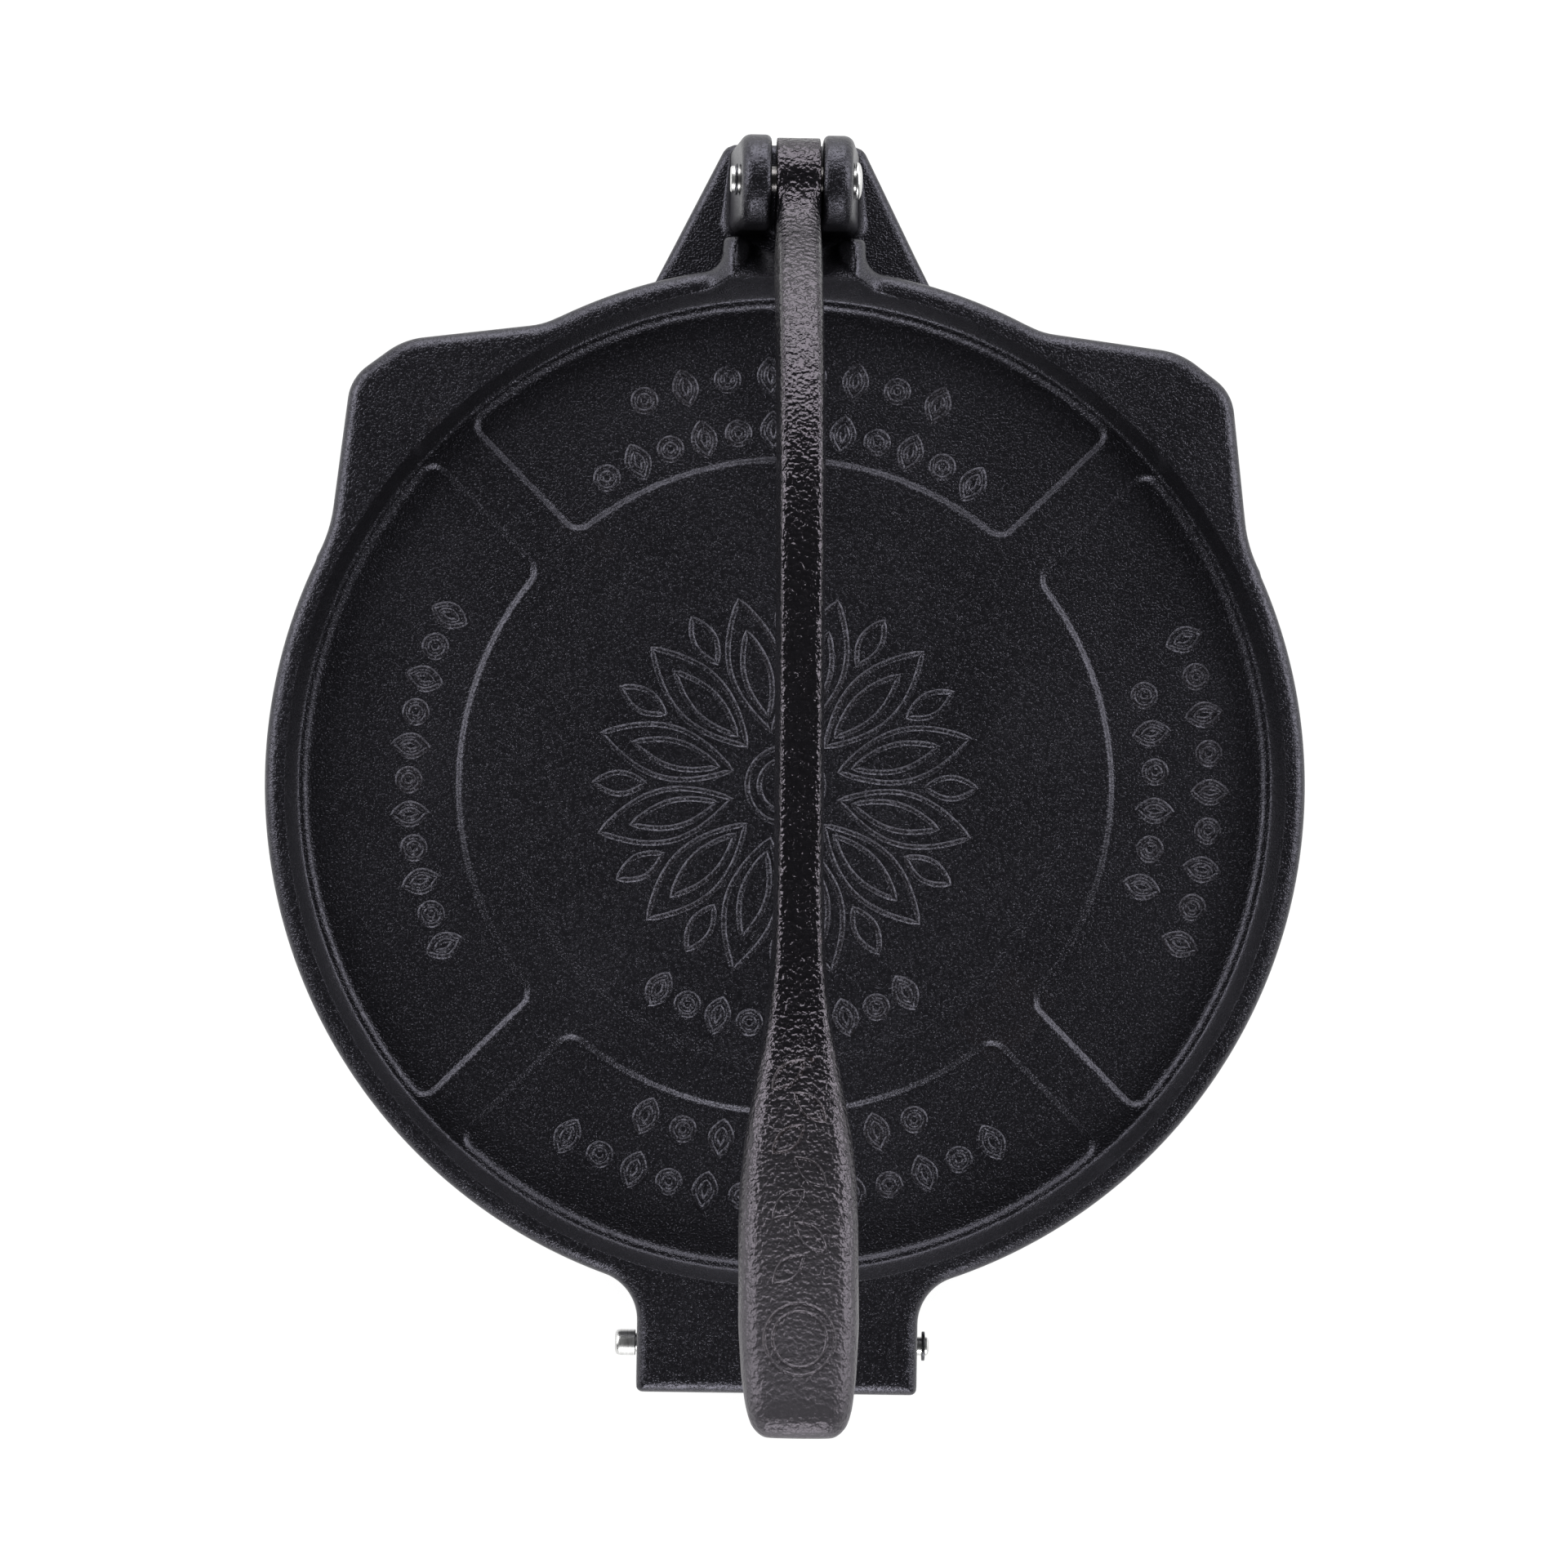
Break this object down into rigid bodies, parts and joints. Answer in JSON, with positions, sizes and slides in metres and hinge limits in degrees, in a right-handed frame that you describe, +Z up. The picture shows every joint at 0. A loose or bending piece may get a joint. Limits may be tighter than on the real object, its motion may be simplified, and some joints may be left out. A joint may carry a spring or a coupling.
{
  "type": "tortilla press",
  "caption": "Cast-iron press with hinged round plates and a long folding lever that flattens balls of dough into thin discs.",
  "frame": {"origin": "the centre of the footprint, on the table that the feet stand on", "axes": "+X to the right, +Y from the hinge towards the lever's pivot, +Z up"},
  "size_m": [0.2224, 0.2697, 0.1152],
  "materials": {
    "base_iron": "pre-seasoned, black, fine cast grain",
    "lid_iron": "pre-seasoned, black, fine cast grain",
    "lever_iron": "pre-seasoned, black, coarser cast grain, brown at the worn edges",
    "pin_steel": "bright turned steel",
    "clip_steel": "black oxide"
  },
  "bodies": {
    "base": {"base_plate": "base_iron", "pivot_pin": "pin_steel", "pivot_pin_clip": "clip_steel", "hinge_pin": "pin_steel", "hinge_pin_clip": "clip_steel"},
    "lid": {"lid_plate": "lid_iron"},
    "handle": {"handle": "lever_iron"}
  },
  "joints": [
    {"name": "lid_hinge", "type": "hinge", "parent": "base", "child": "lid", "pos_m": [0, -0.125, 0.014], "axis": [1, 0, 0], "range_deg": [0, 95]},
    {"name": "handle_swing", "type": "hinge", "parent": "base", "child": "handle", "pos_m": [0, 0.12325, 0.042], "axis": [-1, 0, 0], "range_deg": [0, 168]}
  ],
  "couplings": [
    {"joint": "handle_swing", "follows": "lid_hinge", "ratio": 1.768}
  ]
}
